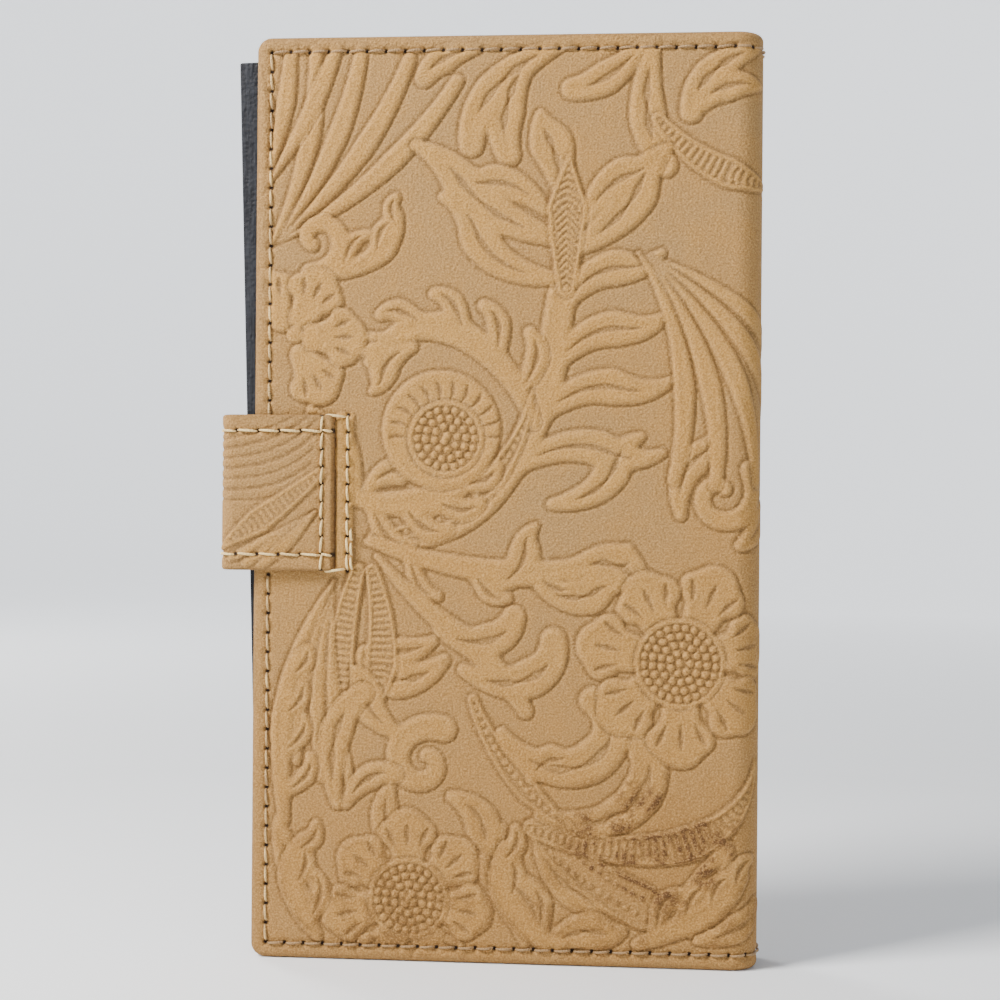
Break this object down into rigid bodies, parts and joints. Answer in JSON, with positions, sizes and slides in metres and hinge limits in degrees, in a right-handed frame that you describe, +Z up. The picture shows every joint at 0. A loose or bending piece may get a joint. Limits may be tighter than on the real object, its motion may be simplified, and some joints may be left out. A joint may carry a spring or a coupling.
{
  "type": "leather notebook cover",
  "caption": "Tooled leather notebook cover with a folding spine, a snap strap round the fore-edge, card pockets and a corded notebook inside.",
  "frame": {"origin": "middle of the back panel's bottom edge, on the face the closed cover stands on", "axes": "+Z up along the spine, +X from the fore-edge to the spine, +Y from the back panel to the front panel"},
  "size_m": [0.1113, 0.0239, 0.19],
  "materials": {
    "thread": "waxed twisted thread",
    "cover_leather": "tooled nubuck, tan with brown patina",
    "strap_leather": "tooled nubuck, tan",
    "lining_leather": "smooth suede-finished lining",
    "pocket_leather": "smooth thin leather",
    "board": "grey board",
    "snap_metal": "antiqued brass",
    "notebook_cover": "matte black leatherette",
    "paper": "ivory paper",
    "staple_wire": "steel wire",
    "elastic": "braided elastic"
  },
  "bodies": {
    "back": {"back_leather": "cover_leather", "back_board": "board", "back_lining": "lining_leather", "back_edge_stitches": "thread", "strap_root_leather": "strap_leather", "strap_root_lining": "lining_leather", "strap_root_stitches": "thread", "strap_box_stitches": "thread", "notebook_back_cover": "notebook_cover", "notebook_pages_back": "paper", "notebook_staples": "staple_wire", "notebook_cord": "elastic"},
    "spine": {"spine_leather": "cover_leather", "spine_stiffener": "board", "spine_lining": "lining_leather", "spine_stitches": "thread"},
    "front": {"front_leather": "cover_leather", "front_board": "board", "front_lining": "lining_leather", "front_edge_stitches": "thread", "card_pocket_low": "pocket_leather", "card_pocket_middle": "pocket_leather", "card_pocket_high": "pocket_leather", "card_pocket_stitches": "thread", "snap_stud": "snap_metal", "snap_stud_rivet": "snap_metal"},
    "notebook_front": {"notebook_front_cover": "notebook_cover", "notebook_pages_front": "paper"},
    "strap_bridge": {"strap_bridge_leather": "strap_leather", "strap_bridge_lining": "lining_leather", "strap_bridge_stitches": "thread"},
    "strap_tab": {"strap_tab_leather": "strap_leather", "strap_tab_lining": "lining_leather", "strap_tab_stitches": "thread", "snap_cap": "snap_metal", "snap_socket": "snap_metal", "snap_spring": "snap_metal"}
  },
  "joints": [
    {"name": "spine_fold_back", "type": "hinge", "parent": "back", "child": "spine", "pos_m": [0.05114, -0.00064, 0.095], "axis": [0, 0, -1], "range_deg": [0, 90]},
    {"name": "spine_fold_front", "type": "hinge", "parent": "spine", "child": "front", "pos_m": [0.05114, 0.01464, 0.095], "axis": [0, 0, -1], "range_deg": [0, 90]},
    {"name": "notebook_fold", "type": "hinge", "parent": "back", "child": "notebook_front", "pos_m": [0.044, 0.0063, 0.0989], "axis": [0.0279, 0, -0.9996], "range_deg": [0, 171]},
    {"name": "strap_root_bend", "type": "hinge", "parent": "back", "child": "strap_bridge", "pos_m": [-0.05716, -0.00196, 0.096], "axis": [0, 0, 1], "range_deg": [0, 90]},
    {"name": "strap_tab_bend", "type": "hinge", "parent": "strap_bridge", "child": "strap_tab", "pos_m": [-0.05716, 0.01736, 0.096], "axis": [0, 0, 1], "range_deg": [0, 90]}
  ],
  "couplings": [
    {"joint": "spine_fold_front", "follows": "spine_fold_back", "ratio": 1},
    {"joint": "notebook_fold", "follows": "spine_fold_back", "ratio": 1.9},
    {"joint": "strap_tab_bend", "follows": "strap_root_bend", "ratio": 1}
  ]
}
